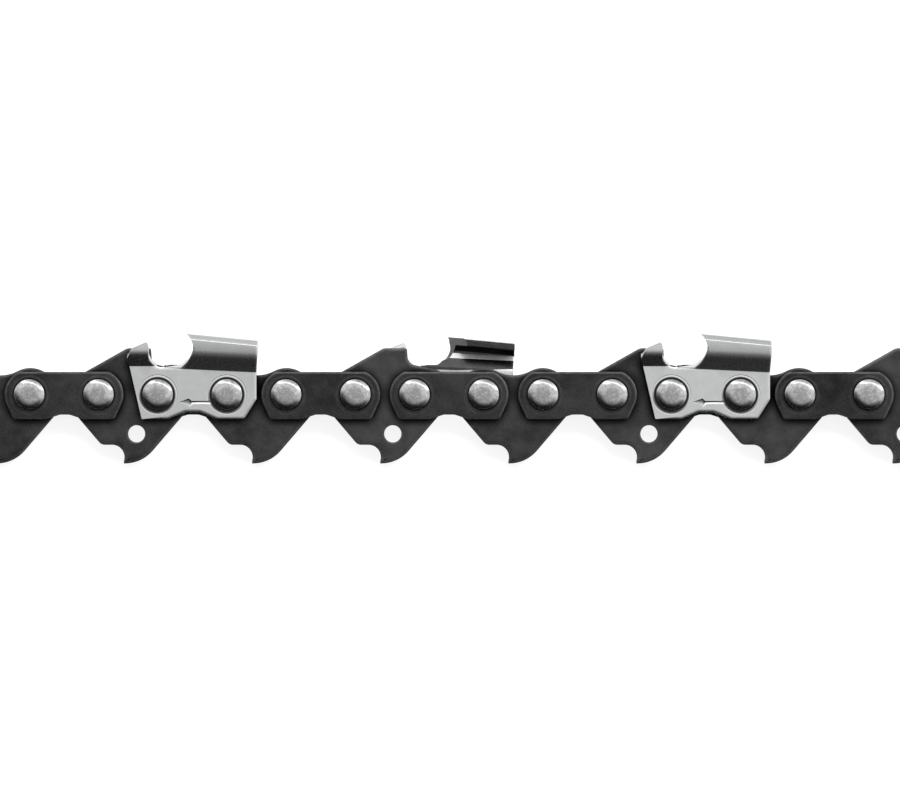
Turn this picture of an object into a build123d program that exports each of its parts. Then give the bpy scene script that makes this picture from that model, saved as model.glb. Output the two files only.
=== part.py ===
from build123d import *
import math
import os

# A stretch of saw chain lying on its side, in millimetres. X runs along the chain towards its
# trailing end, Y points away from the guide bar, and Z is the direction of the rivets.

# Chain layout
pitch = 9.32
link_spacing = 8.59
plate_spacing = 2 * pitch - link_spacing
link_count = 8

# Small rounds are drawn in flats, so that a chain of this many pieces stays light
flat_turn = 18
rivet_sides = 16
hole_sides = 18
merge_distance = 0.005

# Layers across the chain
link_thickness = 1.3
plate_thickness = 1.1
side_play = 0.05
plate_inner = link_thickness / 2 + side_play
plate_outer = plate_inner + plate_thickness

# Rivets
hub_radius = 1.95
running_clearance = 0.05
hole_radius = hub_radius + running_clearance
shank_radius = 1.55
shank_clearance = 0.02
head_radius = 2.2
head_top_radius = 1.5
head_height = 0.72

# Drive link, measured from the middle of the link
lobe_radius = 3.87
dip_height = 2.8
front_shoulder_drop = 2.4
rear_shoulder_drop = 2.68
shoulder_rounding = 0.9
step_drop = 7.17
step_front = 3.98
step_rounding = 0.5
hook_centre_x = 2.41
hook_radius = 1.79
hook_tip_angle = 30
tail_depth = 10.04
tail_corner_x = 1.86
tail_rounding = 5.25

# Raised guard on every second drive link
guard_height = 6.74
guard_ramp_angle = 29.4
guard_rounding = 1.2
guard_rear = 3.2
guard_tip_rounding = 0.25
guard_foot_x = 3.35
guard_foot_height = 4.5
guard_foot_rounding = 1.3
guard_saddle_height = 3.45
guard_saddle_rounding = 0.8
oil_hole_radius = 1.25
oil_hole_x = 1.2
oil_hole_drop = 5.52

# Tie strap, measured from its rivets and from its middle
strap_end_radius = 3.6
strap_top = 3.29
foot_depth = 3.42
foot_corner_x = 2.3
foot_rounding = 0.5
waist_foot = 2.8
waist_crest = 0.8
waist_rise = 0.67
waist_rounding = 1.4

# Cutter side plate, measured from its rivets
cutter_front_height = 3.96
cutter_front_x = 4.1
cutter_foot_front_x = 2.36
cutter_heel_x = 4.28
cutter_heel_drop = 0.7
cutter_foot_rear_x = 2.47
cutter_waist_foot = 3.6
cutter_waist_crest = 1.1
cutter_waist_rise = 1.07

# Tooth: above the bend the plate leans outwards, stands upright, and folds over as the top plate
tooth_bend_height = 3.75
tooth_bend_fall = 0.55
lean_height = 2.25
lean_offset = 1.0
upright_height = 2.05
bevel_width = 0.6
bevel_height = 0.7
inner_bevel_width = 0.3
tooth_top_fall = 1.1
top_plate_width = 4.4
top_plate_thickness = 1.05
tooth_front_x = 4.5
tooth_overhang = 4.5
file_radius = 2.2
file_centre_x = 3.2
file_centre_height = 6.45
filing_angle = 30

# Depth gauge ahead of the tooth, with the gullet between them
gauge_bend_height = 4.13
gauge_lean_height = 1.7
gauge_front_x = 4.39
gauge_front_height = 5.2
gauge_brow_x = 3.5
gauge_brow_height = 6.7
gauge_peak_x = 1.5
gauge_peak_height = 7.62
gauge_rounding = 0.6
gauge_peak_rounding = 0.3
gauge_rear_x = 1.28
gullet_height = 3.93
gullet_front_rounding = 1.9
gullet_rear_x = 3.1


def arc(centre_x, centre_y, radius, start, end):
    """Points along an arc between two angles in degrees, its flats no wider than flat_turn."""
    flats = max(1, math.ceil(abs(end - start) / flat_turn))
    turns = [math.radians(start + (end - start) * step / flats) for step in range(flats + 1)]
    return [(centre_x + radius * math.cos(turn), centre_y + radius * math.sin(turn)) for turn in turns]


def corner(before, point, after):
    """The points that replace a corner (x, y, radius) between two neighbours."""
    if len(point) == 2 or point[2] == 0:
        return [point[:2]]
    tip = Vector(*point[:2])
    back = (Vector(*before[:2]) - tip).normalized()
    ahead = (Vector(*after[:2]) - tip).normalized()
    half_angle = math.radians(back.get_angle(ahead)) / 2
    middle = tip + (back + ahead).normalized() * (point[2] / math.sin(half_angle))
    start = tip + back * (point[2] / math.tan(half_angle)) - middle
    end = tip + ahead * (point[2] / math.tan(half_angle)) - middle
    start_turn = math.degrees(math.atan2(start.Y, start.X))
    end_turn = math.degrees(math.atan2(end.Y, end.X))
    sweep = (end_turn - start_turn + 180) % 360 - 180
    return arc(middle.X, middle.Y, point[2], start_turn, start_turn + sweep)


def path(*corners):
    """An open run through corners (x, y) or (x, y, radius), each radius drawn in flats."""
    points = [corners[0][:2]]
    for before, point, after in zip(corners, corners[1:], corners[2:]):
        points += corner(before, point, after)
    return points + [corners[-1][:2]]


def outline(points):
    """A face inside a closed run of points, without the points that repeat their neighbour."""
    distinct = [
        point
        for index, point in enumerate(points)
        if math.dist(point, points[index - 1]) > merge_distance
    ]
    return make_face(Polyline(*distinct, close=True))


def opening(radius, sides):
    """A round opening drawn in flats that touch the circle of this radius from outside."""
    return RegularPolygon(radius / math.cos(math.pi / sides), sides)


def plain_top():
    """The two round ends of a drive link and the dip between them, from rear to front."""
    half = link_spacing / 2
    dip_radius = (half**2 + dip_height**2 - lobe_radius**2) / (2 * (lobe_radius - dip_height))
    dip_turn = math.degrees(math.atan2(dip_height + dip_radius, half))
    rear_end = arc(half, 0, lobe_radius, 0, 180 - dip_turn)
    dip = arc(0, dip_height + dip_radius, dip_radius, -dip_turn, dip_turn - 180)
    front_end = arc(-half, 0, lobe_radius, dip_turn, 180)
    return rear_end + dip + front_end


def guard_top():
    """The saddle, the guard's crest and ramp, and the round front end, from rear to front."""
    half = link_spacing / 2
    side = half + lobe_radius
    front_end = arc(-half, 0, lobe_radius, 90 + guard_ramp_angle, 180)
    ramp_x, ramp_y = front_end[0]
    crest_x = ramp_x + (guard_height - ramp_y) / math.tan(math.radians(guard_ramp_angle))
    crest = path(
        (side, 0),
        (side, guard_saddle_height, guard_saddle_rounding),
        (guard_foot_x, guard_foot_height, guard_foot_rounding),
        (guard_rear, guard_height, guard_tip_rounding),
        (crest_x, guard_height, guard_rounding),
        (ramp_x, ramp_y),
    )
    return crest + front_end


def link_tail():
    """The driving tail of a link, from its front side over the step, hook and tooth to its rear."""
    side = link_spacing / 2 + lobe_radius
    hook = arc(-hook_centre_x, -step_drop - hook_radius, hook_radius, 90, -hook_tip_angle)
    front = path(
        (-side, 0),
        (-side, -front_shoulder_drop, shoulder_rounding),
        (-step_front, -step_drop, step_rounding),
        hook[0],
    )
    rear = path(
        (hook[-1][0], -tail_depth),
        (tail_corner_x, -tail_depth, tail_rounding),
        (side, -rear_shoulder_drop, shoulder_rounding),
        (side, 0),
    )
    return front + hook + rear


def drive_link(guarded, first, last):
    """A drive link, its leading hole on the Z axis. The chain's two free holes are true rounds."""
    half = link_spacing / 2
    face = outline((guard_top() if guarded else plain_top()) + link_tail())
    face -= Pos(-half, 0) * (Circle(hole_radius) if first else opening(hole_radius, hole_sides))
    face -= Pos(half, 0) * (Circle(hole_radius) if last else opening(hole_radius, hole_sides))
    if guarded:
        face -= Pos(oil_hole_x, -oil_hole_drop) * opening(oil_hole_radius, hole_sides)
    return Pos(half, 0, -link_thickness / 2) * extrude(face, link_thickness)


def rivet():
    """A rivet: a hub between the plates, a shank through each plate, and a head formed outside it."""
    hub = Pos(0, 0, -plate_inner) * extrude(RegularPolygon(hub_radius, rivet_sides), 2 * plate_inner)
    shank = Pos(0, 0, -plate_outer) * extrude(RegularPolygon(shank_radius, rivet_sides), 2 * plate_outer)
    slope = math.degrees(math.atan2(head_radius - head_top_radius, head_height))
    head = Pos(0, 0, plate_outer) * extrude(RegularPolygon(head_radius, rivet_sides), head_height, taper=slope)
    return hub + shank + head + mirror(head, about=Plane.XY)


def rivet_holes():
    """The two shank holes of a side plate, as a sketch to cut away."""
    hole = opening(shank_radius + shank_clearance, rivet_sides)
    return Sketch() + [Pos(x, 0) * hole for x in (0, plate_spacing)]


def waist(foot, crest, rise, middle_drop):
    """The arched lower edge between a side plate's feet, from front to rear."""
    middle = plate_spacing / 2
    return path(
        (middle - foot - waist_rounding, -middle_drop),
        (middle - foot, -middle_drop, waist_rounding),
        (middle - crest, rise - middle_drop, waist_rounding),
        (middle + crest, rise - middle_drop, waist_rounding),
        (middle + foot, -middle_drop, waist_rounding),
        (middle + foot + waist_rounding, -middle_drop),
    )


def tie_strap():
    """A tie strap in the upper layer, its leading rivet on the Z axis."""
    top_turn = math.degrees(math.asin(strap_top / strap_end_radius))
    front_end = arc(0, 0, strap_end_radius, 180 - top_turn, 180)
    rear_end = arc(plate_spacing, 0, strap_end_radius, 0, top_turn)
    lower_edge = waist(waist_foot, waist_crest, waist_rise, foot_depth)
    front_foot = path(front_end[-1], (-foot_corner_x, -foot_depth, foot_rounding), lower_edge[0])
    rear_foot = path(lower_edge[-1], (plate_spacing + foot_corner_x, -foot_depth, foot_rounding), rear_end[0])
    face = outline(front_end + front_foot + lower_edge + rear_foot + rear_end) - rivet_holes()
    return Pos(0, 0, plate_inner) * extrude(face, plate_thickness)


def bent_section(x, bend, lean, upright, bevel, fall):
    """The cross-section at x of the strip that is bent outwards at the height bend."""
    lean_angle = math.atan2(lean_offset, lean)
    shift = plate_thickness * math.tan(lean_angle / 2)
    outer = plate_outer + lean_offset
    inner = outer - plate_thickness
    top = bend + lean + upright + bevel - fall
    points = [
        (x, -tail_depth, plate_inner),
        (x, -tail_depth, plate_outer),
        (x, bend, plate_outer),
        (x, bend + lean, outer),
        (x, top - bevel, outer),
        (x, top, outer - bevel_width),
        (x, top, outer - top_plate_width),
        (x, top - top_plate_thickness, outer - top_plate_width),
        (x, top - top_plate_thickness, inner - inner_bevel_width),
        (x, top - top_plate_thickness - bevel, inner),
        (x, bend + lean + shift, inner),
        (x, bend + shift, plate_inner),
    ]
    return make_face(Polyline(*points, close=True))


def tooth_strip():
    """The bent strip of the tooth, which falls away towards its heel."""
    front = bent_section(gullet_rear_x, tooth_bend_height, lean_height, upright_height, bevel_height, 0)
    rear = bent_section(
        plate_spacing + tooth_overhang,
        tooth_bend_height - tooth_bend_fall,
        lean_height,
        upright_height,
        bevel_height,
        tooth_top_fall - tooth_bend_fall,
    )
    return loft([front, rear], ruled=True)


def cutter_outline():
    """The cutter seen from the side, with room above its tooth for the bent strip."""
    top = file_centre_height + 2 * file_radius
    heel = plate_spacing + cutter_heel_x
    lower_edge = waist(cutter_waist_foot, cutter_waist_crest, cutter_waist_rise, foot_depth)
    gauge = path(
        (-cutter_foot_front_x, -foot_depth),
        (-cutter_front_x, cutter_front_height),
        (-gauge_front_x, gauge_front_height, gauge_rounding),
        (-gauge_brow_x, gauge_brow_height, gauge_rounding),
        (-gauge_peak_x, gauge_peak_height, gauge_peak_rounding),
        (-gauge_rear_x, gauge_peak_height - gauge_rounding),
        (-gauge_rear_x, gullet_height, gullet_front_rounding),
        (gullet_rear_x, gullet_height),
    )
    heel_run = path(
        (tooth_front_x, file_centre_height - file_radius),
        (tooth_front_x, top),
        (plate_spacing + tooth_overhang, top),
        (plate_spacing + tooth_overhang, tooth_bend_height + lean_height),
        (heel, tooth_bend_height - tooth_bend_fall),
        (heel, -cutter_heel_drop),
        (plate_spacing + cutter_foot_rear_x, -foot_depth, foot_rounding),
        lower_edge[-1],
    )
    return outline(gauge + heel_run + lower_edge[::-1])


def filing():
    """What the round file and the leading edge's angle take away from the tooth."""
    angle = math.radians(filing_angle)
    corner_z = plate_outer + lean_offset
    reach = 2 * top_plate_width
    stroke = Vector(math.sin(angle), 0, -math.cos(angle)) * reach
    flats = opening(file_radius, hole_sides)
    start = Plane(
        origin=(file_centre_x - stroke.X / 2, file_centre_height, corner_z - stroke.Z / 2),
        x_dir=(0, 1, 0),
        z_dir=stroke,
    )
    file = extrude(start * flats, 2 * reach)
    edge = [
        (tooth_front_x - reach * math.tan(angle), corner_z + reach),
        (tooth_front_x + reach * math.tan(angle), corner_z - reach),
        (gullet_rear_x - reach, corner_z - reach),
        (gullet_rear_x - reach, corner_z + reach),
    ]
    slab = make_face(Polyline(*[(x, file_centre_height, z) for x, z in edge], close=True))
    return file + extrude(slab, 2 * file_radius, dir=(0, 1, 0))


def left_cutter():
    """A cutter of the upper layer: side plate, tooth with top plate, and depth gauge, in one piece."""
    gauge_start = -plate_spacing
    gauge_section = bent_section(
        gauge_start, gauge_bend_height, gauge_lean_height, upright_height + bevel_height, bevel_height, 0
    )
    gauge_strip = extrude(gauge_section, gullet_rear_x - gauge_start, dir=(1, 0, 0))
    tooth = tooth_strip() - filing()
    strip = gauge_strip + tooth
    silhouette = extrude(cutter_outline() - rivet_holes(), 2 * tail_depth, both=True)
    return strip & silhouette


def chain_pieces():
    """Every piece of the chain by name, in its place."""
    pieces = {}
    strap = tie_strap()
    cutter = left_cutter()
    pin = rivet()
    for number in range(1, link_count + 1):
        guarded = number % 2 == 0
        kind = "guard" if guarded else "plain"
        link = drive_link(guarded, number == 1, number == link_count)
        pieces[f"{kind}_drive_link_{number}"] = Pos(2 * pitch * (number - 1), 0, 0) * link
    for number in range(1, link_count):
        place = Pos(2 * pitch * (number - 1) + link_spacing, 0, 0)
        upper_cutter = number % 4 == 2
        lower_cutter = number % 4 == 0
        upper_name = f"left_cutter_{number}" if upper_cutter else f"upper_tie_strap_{number}"
        lower_name = f"right_cutter_{number}" if lower_cutter else f"lower_tie_strap_{number}"
        pieces[upper_name] = place * (cutter if upper_cutter else strap)
        pieces[lower_name] = place * mirror(cutter if lower_cutter else strap, about=Plane.XY)
        pieces[f"front_rivet_{number}"] = place * pin
        pieces[f"rear_rivet_{number}"] = place * Pos(plate_spacing, 0, 0) * pin
    return pieces


os.makedirs("parts", exist_ok=True)
for name, piece in chain_pieces().items():
    export_step(piece, f"parts/{name}.step")
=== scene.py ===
"""The looks of a stretch of saw chain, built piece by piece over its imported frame.

Sizes are in millimetres while a piece is shaped, and each finished mesh is brought to metres.
"""

import logging
import math
from collections.abc import Iterable, Sequence
from dataclasses import dataclass, field
from enum import Enum, IntEnum

import bmesh
import bpy
from bmesh.types import BMEdge, BMesh, BMFace, BMVert
from bpy.types import Material, Node, Object
from bpy.types import NodeSocket as Socket
from mathutils import Matrix, Vector


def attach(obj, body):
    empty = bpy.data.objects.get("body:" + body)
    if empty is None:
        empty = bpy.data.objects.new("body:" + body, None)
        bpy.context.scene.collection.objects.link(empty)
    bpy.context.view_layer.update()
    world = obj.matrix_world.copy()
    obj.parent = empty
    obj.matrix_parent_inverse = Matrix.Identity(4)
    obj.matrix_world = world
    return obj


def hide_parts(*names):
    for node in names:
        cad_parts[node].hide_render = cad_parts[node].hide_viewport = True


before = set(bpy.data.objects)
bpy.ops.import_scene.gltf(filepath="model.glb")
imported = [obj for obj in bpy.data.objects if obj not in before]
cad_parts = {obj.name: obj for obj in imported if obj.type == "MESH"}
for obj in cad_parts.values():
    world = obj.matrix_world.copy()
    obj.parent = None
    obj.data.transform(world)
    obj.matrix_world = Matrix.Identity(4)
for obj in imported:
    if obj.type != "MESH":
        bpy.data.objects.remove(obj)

log = logging.getLogger("saw_chain")

MM = 0.001
GRAIN = "grain_mm"
GRAIN_STEP = 17.3
SHARP_ANGLE = math.radians(30)
WELD = 0.0005
OUTLINE_WELD = 0.004
SINK = 0.002
LEVEL = 0.9


class Layer(Enum):
    """The side of the chain that a plate lies on, as the sign of its Z."""

    NEAR = 1
    FAR = -1


class LinkKind(Enum):
    """The two kinds of drive link."""

    PLAIN = "plain"
    GUARD = "guard"


class Skin(IntEnum):
    """The finishes of a cutter, in the order of its materials."""

    CHROME = 0
    FILED = 1
    # dark chrome as painted shade
    PAINTED_SHADE = 2
    # bright chrome as a painted glint
    PAINTED_GLINT = 3


class Slot(Enum):
    """The pieces' material slots."""

    LINK = "link_steel"
    STRAP = "strap_steel"
    CUTTER = "cutter_chrome"
    RIVET = "rivet_steel"


class Graph:
    """A short way to add nodes to a material and to join them."""

    def __init__(self, name: str) -> None:
        """Starts an empty node material.

        Args:
            name: the material's name.
        """
        self.material = bpy.data.materials.new(name)
        self.material.use_nodes = True
        self.nodes = self.material.node_tree.nodes
        self.links = self.material.node_tree.links
        self.nodes.clear()
        self.output = self.nodes.new("ShaderNodeOutputMaterial")

    def add(self, kind: str, settings: dict[str, object] | None = None, *values: object, **inputs: object) -> Node:
        """Adds a node, sets its properties and fills or joins its inputs.

        Args:
            kind: the node's type name.
            settings: properties of the node itself.
            *values: a value or a socket for each of the first inputs.
            **inputs: the same for inputs by name, with its blanks as underscores.

        Returns:
            The new node.
        """
        node = self.nodes.new(kind)
        for key, value in (settings or {}).items():
            setattr(node, key, value)
        for index, value in enumerate(values):
            self.feed(node.inputs[index], value)
        for key, value in inputs.items():
            self.feed(node.inputs[key.replace("_", " ")], value)
        return node

    def feed(self, socket: Socket, value: object) -> None:
        """Joins a socket to another one, or sets its value.

        Args:
            socket: the input to fill.
            value: an output socket, a number, a colour or a vector.
        """
        if isinstance(value, Socket):
            self.links.new(value, socket)
        else:
            socket.default_value = value

    def grain(self) -> Socket:
        """The piece's own coordinates in millimetres, from its stored attribute."""
        return self.add("ShaderNodeAttribute", {"attribute_name": GRAIN}).outputs["Vector"]

    def mapped(self, scale: tuple[float, float, float]) -> Socket:
        """The piece's own coordinates, stretched along each axis."""
        return self.add("ShaderNodeMapping", Vector=self.grain(), Scale=scale).outputs["Vector"]

    def tilt(self) -> Socket:
        """How far a face leans from the plate's own, 0 for none and 1 for a wall."""
        place = self.add("ShaderNodeTexCoord")
        split = self.add("ShaderNodeSeparateXYZ", Vector=place.outputs["Normal"])
        rise = self.sum(split.outputs["Z"], 0.0, "ABSOLUTE")
        return self.spread(rise, 1.0, 0.0, 0.0, 1.0)

    def open_share(self, distance_mm: float) -> Socket:
        """How open a place is among neighbours within a distance, 0 in a deep corner and 1 in the open."""
        shade = self.add("ShaderNodeAmbientOcclusion", {"samples": 8}, Distance=distance_mm * MM)
        return self.spread(shade.outputs["AO"], 0.0, 1.0, 0.5, 0.96)

    def radius(self, x: float = 0.0) -> Socket:
        """The distance from the upright axis at a place along X."""
        flat = self.add("ShaderNodeVectorMath", {"operation": "MULTIPLY_ADD"}, self.grain(), (1, 1, 0), (-x, 0, 0))
        return self.add("ShaderNodeVectorMath", {"operation": "LENGTH"}, flat.outputs["Vector"]).outputs["Value"]

    def near_rivets(self, spacing: float, start: float, end: float) -> Socket:
        """A mask that is 1 at a plate's two rivets up to the radius start and falls to 0 at the radius end."""
        return self.spread(self.sum(self.radius(), self.radius(spacing), "MINIMUM"), 1.0, 0.0, start, end)

    def noise(self, scale: float, detail: float = 3.0, vector: Socket | None = None) -> Socket:
        """A noise from 0 to 1, with scale in cells per millimetre and detail in octaves."""
        node = self.add("ShaderNodeTexNoise", Vector=vector or self.grain(), Scale=scale, Detail=detail)
        return node.outputs["Fac"]

    def spread(self, value: Socket, low: float, high: float, start: float = 0.3, end: float = 0.7) -> Socket:
        """A value between start and end, brought to between low and high and clamped."""
        node = self.add("ShaderNodeMapRange", Value=value, From_Min=start, From_Max=end, To_Min=low, To_Max=high)
        return node.outputs["Result"]

    def sum(self, first: Socket, second: object, kind: str = "ADD") -> Socket:
        """Two values put together by an operation."""
        return self.add("ShaderNodeMath", {"operation": kind}, first, second).outputs["Value"]

    def blend(self, factor: Socket, first: object, second: object) -> Socket:
        """A colour between two others.

        Args:
            factor: the share of the second colour.
            first: a colour or a socket.
            second: a colour or a socket.

        Returns:
            The colour socket.
        """
        node = self.add("ShaderNodeMix", {"data_type": "RGBA"})
        self.feed(node.inputs["Factor"], factor)
        self.feed(node.inputs[6], first)
        self.feed(node.inputs[7], second)
        return node.outputs[2]

    def bump(self, height: Socket, depth_mm: float, **under: Socket) -> Socket:
        """A bump whose height of 1 measures a real depth, on another one where Normal is given."""
        node = self.add("ShaderNodeBump", Height=height, Strength=1.0, Distance=depth_mm * MM, **under)
        return node.outputs["Normal"]

    def finish(self, **inputs: object) -> Material:
        """Adds the surface shader and joins it to the output.

        Args:
            **inputs: a value or a socket for each input of the shader.

        Returns:
            The finished material.
        """
        shader = self.add("ShaderNodeBsdfPrincipled", None, **inputs)
        self.links.new(shader.outputs["BSDF"], self.output.inputs["Surface"])
        return self.material


def grey(level: float, warmth: float = 0.0) -> tuple[float, float, float, float]:
    """A near-grey colour in linear light, and how much more red than blue it holds."""
    return (level * (1 + warmth), level, level * (1 - warmth), 1.0)


@dataclass(frozen=True)
class BluedSteel:
    """Dark steel with a heat-blued and tumbled skin."""

    name: str = "blued steel"
    dark: float = 0.012
    light: float = 0.05
    metallic: float = 0.35
    roughness: float = 0.31
    specular: float = 0.3
    wear: float = 0.35
    bare: float = 0.22
    # painted shade: how far the occlusion looks in mm, and the dark colour it paints into corners
    painted_shade_mm: float = 1.4
    shade: float = 0.002
    rough_spread: tuple[float, float] = (-0.05, 0.07)
    rub_start: tuple[float, float] = (0.004, 0.03)
    rub_end: tuple[float, float] = (0.2, 0.34)
    grain_depth: float = 0.0028

    def material(self) -> Material:
        """The finished material."""
        graph = Graph(self.name)
        cloud = graph.noise(0.45, 4.0)
        fleck = graph.noise(5.0, 6.0)
        batch = graph.spread(graph.noise(0.05, 1.0), -0.4, 0.4)
        tone = graph.sum(graph.spread(cloud, 0.0, 0.6), graph.spread(fleck, 0.0, 0.4))
        skin = graph.blend(graph.sum(tone, batch), grey(self.dark, 0.01), grey(self.light, 0.005))
        tilt = graph.tilt()
        rub = graph.sum(
            graph.spread(tilt, 0.0, 1.0, *self.rub_start), graph.spread(tilt, 1.0, 0.0, *self.rub_end), "MULTIPLY"
        )
        rub = graph.sum(rub, graph.spread(graph.noise(1.3, 5.0), 0.25 * self.wear, self.wear), "MULTIPLY")
        rubbed = graph.blend(rub, skin, grey(self.bare))
        # Painted shade: ambient occlusion darkens the colour in corners, round the rivets and under the plates' edges,
        # where shade falls
        open_share = graph.open_share(self.painted_shade_mm)
        colour = graph.blend(open_share, grey(self.shade), rubbed)
        rough = graph.sum(graph.spread(fleck, *self.rough_spread), self.roughness)
        height = graph.sum(graph.noise(16.0, 5.0), graph.noise(3.5, 3.0))
        return graph.finish(
            Base_Color=colour,
            Metallic=graph.spread(rub, self.metallic, 1.0, 0.0, 1.0),
            Roughness=rough,
            Normal=graph.bump(height, self.grain_depth),
            # painted shade: the same occlusion also dims the specular level there
            Specular_IOR_Level=graph.sum(open_share, self.specular, "MULTIPLY"),
        )


@dataclass(frozen=True)
class SatinChrome:
    """Hard chrome with a satin tumbled skin."""

    name: str = "satin chrome"
    rivet_spacing: float = 10.05
    # painted shade round each rivet: the radius where it starts to fade and where it ends, and its darkness as a share
    # of the dark tone
    painted_seat_shade: tuple[float, float] = (2.5, 2.66)
    painted_seat_shade_share: float = 0.06
    warmth: float = -0.006
    rough_spread: tuple[float, float] = (-0.04, 0.06)
    dark: float = 0.66
    light: float = 0.76
    roughness: float = 0.24
    grain_depth: float = 0.0011

    def material(self) -> Material:
        """The finished material."""
        graph = Graph(self.name)
        cloud = graph.noise(0.8, 4.0)
        fleck = graph.noise(9.0, 5.0)
        tone = graph.sum(graph.spread(cloud, 0.0, 0.5), graph.spread(fleck, 0.0, 0.5))
        clean = graph.blend(tone, grey(self.dark, self.warmth), grey(self.light, self.warmth))
        # Painted shade: the plate goes nearly black within the seat round each rivet, where the recess lies in shade
        painted_seat_shade = graph.near_rivets(self.rivet_spacing, *self.painted_seat_shade)
        colour = graph.blend(painted_seat_shade, clean, grey(self.dark * self.painted_seat_shade_share))
        rough = graph.sum(graph.spread(fleck, *self.rough_spread), self.roughness)
        height = graph.sum(graph.noise(22.0, 4.0), graph.noise(6.0, 3.0))
        normal = graph.bump(height, self.grain_depth)
        return graph.finish(Base_Color=colour, Metallic=1.0, Roughness=rough, Normal=normal)


@dataclass(frozen=True)
class FiledSteel:
    """Bare steel with the fine parallel lines of a file."""

    name: str = "filed steel"
    level: float = 0.5
    roughness: float = 0.28
    line_depth: float = 0.002
    line_share: float = 0.75
    lines: tuple[float, float, float] = (1.2, 22.0, 1.2)
    rough_spread: tuple[float, float] = (-0.05, 0.08)

    def material(self) -> Material:
        """The finished material."""
        graph = Graph(self.name)
        lines = graph.noise(1.0, 3.0, graph.mapped(self.lines))
        colour = graph.blend(graph.spread(lines, 0.0, 1.0), grey(self.level * self.line_share), grey(self.level))
        rough = graph.sum(graph.spread(lines, *self.rough_spread), self.roughness)
        normal = graph.bump(lines, self.line_depth)
        return graph.finish(Base_Color=colour, Metallic=1.0, Roughness=rough, Normal=normal)


@dataclass(frozen=True)
class SpunSteel:
    """Bright steel, spun smooth by the riveting tool, with rings about its middle."""

    name: str = "spun steel"
    dark: float = 0.42
    light: float = 0.7
    roughness: float = 0.2
    ring_radius: float = 1.3
    ring_pitch: float = 0.19
    ring_fade: float = 0.55
    wobble: float = 0.09
    ring_depth: float = 0.006
    grain_depth: float = 0.0015
    middle_roughness: float = 0.12

    def material(self) -> Material:
        """The finished material."""
        graph = Graph(self.name)
        radius = graph.radius()
        wobble = graph.spread(graph.noise(1.6, 3.0), -self.wobble, self.wobble)
        turn = graph.sum(graph.sum(radius, wobble), 2 * math.pi / self.ring_pitch, "MULTIPLY")
        rings = graph.sum(turn, 0.0, "SINE")
        fade = graph.spread(radius, 1.0, 0.0, self.ring_radius * self.ring_fade, self.ring_radius)
        pits = graph.spread(graph.noise(4.5, 5.0), 0.0, 1.0, 0.42, 0.62)
        height = graph.sum(graph.sum(rings, fade, "MULTIPLY"), graph.sum(pits, fade, "MULTIPLY"))
        normal = graph.bump(height, self.ring_depth, Normal=graph.bump(graph.noise(18.0, 4.0), self.grain_depth))
        tone = graph.sum(graph.spread(graph.noise(2.2, 4.0), 0.0, 1.0), graph.sum(pits, fade, "MULTIPLY"), "SUBTRACT")
        colour = graph.blend(tone, grey(self.dark), grey(self.light))
        rough = graph.sum(graph.sum(fade, self.middle_roughness, "MULTIPLY"), self.roughness)
        return graph.finish(Base_Color=colour, Metallic=1.0, Roughness=rough, Normal=normal)


@dataclass(frozen=True)
class Corner:
    """A corner of an outline, with the radius that rounds it."""

    x: float
    y: float
    radius: float = 0.0

    def begin(self) -> Vector:
        """Where a neighbour meets it."""
        return Vector((self.x, self.y, 0))

    end = begin

    def lay(self, mesh: BMesh, before: Vector, after: Vector, step: float) -> list[BMVert]:
        """Lays the corner down as one vertex, or as an arc between its neighbours.

        Args:
            mesh: the mesh that takes it.
            before: the end of the run before it.
            after: the start of the run after it.
            step: the widest turn between two vertices, in degrees.

        Returns:
            The first and the last vertex.
        """
        tip = self.begin()
        if self.radius == 0:
            vertex = mesh.verts.new(tip)
            return [vertex, vertex]
        back = (before - tip).normalized()
        ahead = (after - tip).normalized()
        half = back.angle(ahead) / 2
        middle = tip + (back + ahead).normalized() * (self.radius / math.sin(half))
        start = tip + back * (self.radius / math.tan(half)) - middle
        finish = tip + ahead * (self.radius / math.tan(half)) - middle
        turn = math.degrees(math.atan2(start.cross(finish).z, start.dot(finish)))
        first = math.degrees(math.atan2(start.y, start.x))
        return Arc(middle.x, middle.y, self.radius, first, first + turn).lay(mesh, before, after, step)


@dataclass(frozen=True)
class Arc:
    """An arc of an outline, between two angles in degrees."""

    x: float
    y: float
    radius: float
    first: float
    last: float

    def at(self, angle: float) -> Vector:
        """The arc's point at an angle."""
        turn = math.radians(angle)
        return Vector((self.x + self.radius * math.cos(turn), self.y + self.radius * math.sin(turn), 0))

    def begin(self) -> Vector:
        """The arc's first point."""
        return self.at(self.first)

    def end(self) -> Vector:
        """The arc's last point."""
        return self.at(self.last)

    def lay(self, mesh: BMesh, before: Vector, after: Vector, step: float) -> list[BMVert]:
        """Spins a vertex along the arc.

        Args:
            mesh: the mesh that takes it.
            before: the end of the run before it, which an arc doesn't need.
            after: the start of the run after it, which an arc doesn't need.
            step: the widest turn between two vertices, in degrees.

        Returns:
            The first and the last vertex.
        """
        first = mesh.verts.new(self.begin())
        sweep = self.last - self.first
        made = bmesh.ops.spin(
            mesh,
            geom=[first],
            cent=(self.x, self.y, 0),
            axis=(0, 0, 1),
            angle=math.radians(sweep),
            steps=max(1, math.ceil(abs(sweep) / step)),
            use_duplicate=False,
        )
        last = [item for item in made["geom_last"] if isinstance(item, BMVert)][0]
        return [first, last]


Run = Sequence[Corner | Arc]
Pairs = tuple[tuple[float, float], ...]


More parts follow.
